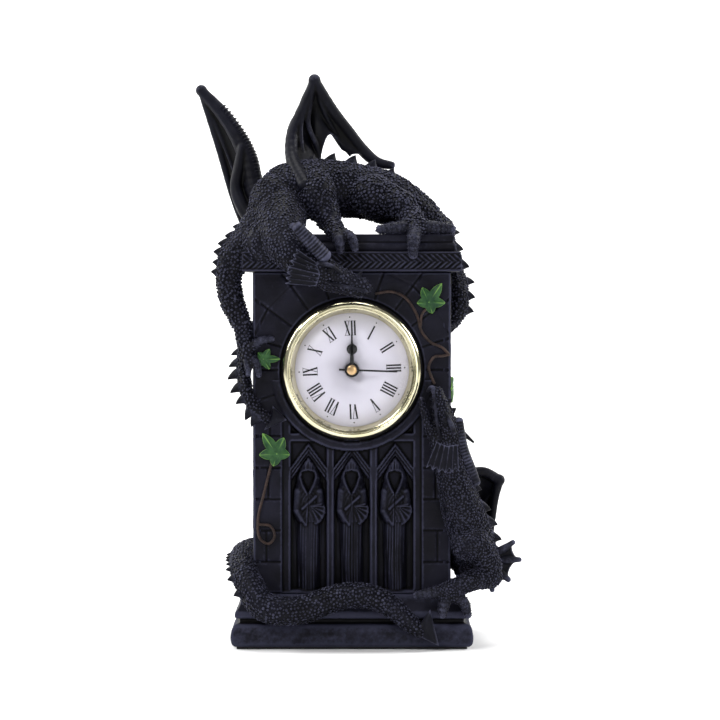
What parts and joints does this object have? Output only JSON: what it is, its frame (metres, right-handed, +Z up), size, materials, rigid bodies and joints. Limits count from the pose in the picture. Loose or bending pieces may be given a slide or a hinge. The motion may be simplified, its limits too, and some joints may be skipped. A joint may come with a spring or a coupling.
{
  "type": "dragon clock",
  "caption": "Table clock shaped as a gothic tower with a dragon lying over its cornice, another climbing its corner, and a round quartz insert.",
  "frame": {"origin": "centre of the felt sheet's underside, which the clock stands on", "axes": "+Z up, the dial faces -Y, and +X is to the right of someone who reads the dial"},
  "size_m": [0.131, 0.0851, 0.2294],
  "materials": {
    "stone_resin": "cast resin, near black with a dry-brushed blue-grey on its high spots",
    "scale_resin": "cast resin scales, near black with a satin sheen",
    "leaf_paint": "hand-painted green, satin",
    "stem_paint": "hand-painted brown, matt",
    "felt": "black felt",
    "gilt_metal": "polished pale gold plating",
    "clear_glass": "clear domed lens",
    "dial_card": "white with a faint lilac cast, black printed numerals",
    "black_sheet": "black enamelled sheet",
    "brass_sheet": "plain brass",
    "steel": "bright steel",
    "copper_wire": "enamelled copper wire",
    "white_plastic": "moulded",
    "black_plastic": "moulded",
    "black_rubber": "soft ribbed rubber",
    "board_green": "solder-masked board"
  },
  "bodies": {
    "case": {"felt_sheet": "felt", "plinth": "stone_resin", "tower": "stone_resin", "cornice": "stone_resin", "ivy_stem_right": "stem_paint", "ivy_stem_left": "stem_paint", "ivy_leaf_top": "leaf_paint", "ivy_leaf_middle": "leaf_paint", "ivy_leaf_low": "leaf_paint", "ivy_leaf_side": "leaf_paint", "upper_dragon_body": "scale_resin", "upper_dragon_tail": "scale_resin", "upper_dragon_left_wing": "scale_resin", "upper_dragon_right_wing": "scale_resin", "lower_dragon_body": "scale_resin", "lower_dragon_tail": "scale_resin", "lower_dragon_upper_wing": "scale_resin", "lower_dragon_lower_wing": "scale_resin"},
    "insert": {"bezel": "gilt_metal", "lens": "clear_glass", "reflector_ring": "gilt_metal", "dial": "dial_card", "insert_cup": "black_plastic", "grip_band": "black_rubber", "back_cover": "black_plastic", "dial_plate": "white_plastic", "middle_plate": "white_plastic", "rear_bridge": "white_plastic", "stator": "steel", "coil": "copper_wire", "circuit_board": "board_green", "quartz_crystal": "steel", "button_cell": "steel", "negative_contact": "brass_sheet", "positive_contact": "brass_sheet"},
    "battery_door": {"battery_cover": "black_plastic"},
    "minute_train": {"cannon_pinion": "brass_sheet", "minute_hand": "black_sheet"},
    "hour_train": {"hour_wheel": "white_plastic", "hour_hand": "black_sheet"},
    "reversing_gear": {"reversing_wheel": "white_plastic"},
    "setting_stem": {"setting_knob": "black_plastic"},
    "rotor_stem": {"rotor": "steel"},
    "fifth_gear": {"fifth_wheel": "white_plastic"},
    "seconds_train": {"seconds_wheel": "steel", "second_hand": "black_sheet", "second_hand_cap": "brass_sheet"},
    "third_gear": {"third_wheel": "white_plastic"},
    "centre_gear": {"centre_wheel": "brass_sheet"}
  },
  "joints": [
    {"name": "insert_pull", "type": "slide", "parent": "case", "child": "insert", "axis": [0, -1, 0], "range_m": [0, 0.03]},
    {"name": "battery_cover_turn", "type": "hinge", "parent": "insert", "child": "battery_door", "pos_m": [-0.012, -0.01, 0.1183], "axis": [0, 1, 0], "range_deg": [0, 60]},
    {"name": "minute_hand_turn", "type": "hinge", "parent": "insert", "child": "minute_train", "pos_m": [0, -0.026, 0.1101], "axis": [0, 1, 0], "continuous": true},
    {"name": "hour_hand_turn", "type": "hinge", "parent": "insert", "child": "hour_train", "pos_m": [0, -0.026, 0.1101], "axis": [0, 1, 0], "continuous": true},
    {"name": "reversing_wheel_turn", "type": "hinge", "parent": "insert", "child": "reversing_gear", "pos_m": [0, -0.023, 0.1026], "axis": [0, 1, 0], "continuous": true},
    {"name": "setting_knob_turn", "type": "hinge", "parent": "insert", "child": "setting_stem", "pos_m": [0, -0.01, 0.0951], "axis": [0, 1, 0], "continuous": true},
    {"name": "rotor_turn", "type": "hinge", "parent": "insert", "child": "rotor_stem", "pos_m": [0.00532, -0.015, 0.11932], "axis": [0, 1, 0], "continuous": true},
    {"name": "fifth_wheel_turn", "type": "hinge", "parent": "insert", "child": "fifth_gear", "pos_m": [0.0027, -0.015, 0.11478], "axis": [0, 1, 0], "continuous": true},
    {"name": "second_hand_turn", "type": "hinge", "parent": "insert", "child": "seconds_train", "pos_m": [0, -0.026, 0.1101], "axis": [0, 1, 0], "continuous": true},
    {"name": "third_wheel_turn", "type": "hinge", "parent": "insert", "child": "third_gear", "pos_m": [-0.00671, -0.02, 0.11254], "axis": [0, 1, 0], "continuous": true},
    {"name": "centre_wheel_turn", "type": "hinge", "parent": "insert", "child": "centre_gear", "pos_m": [0, -0.026, 0.1101], "axis": [0, 1, 0], "continuous": true}
  ],
  "couplings": [
    {"joint": "hour_hand_turn", "follows": "minute_hand_turn", "ratio": 0.083333},
    {"joint": "reversing_wheel_turn", "follows": "minute_hand_turn", "ratio": -0.33333},
    {"joint": "setting_knob_turn", "follows": "minute_hand_turn", "ratio": 1},
    {"joint": "fifth_wheel_turn", "follows": "rotor_turn", "ratio": -0.16667},
    {"joint": "second_hand_turn", "follows": "rotor_turn", "ratio": 0.033333},
    {"joint": "third_wheel_turn", "follows": "rotor_turn", "ratio": -0.0044444},
    {"joint": "centre_wheel_turn", "follows": "rotor_turn", "ratio": 0.00055556}
  ]
}
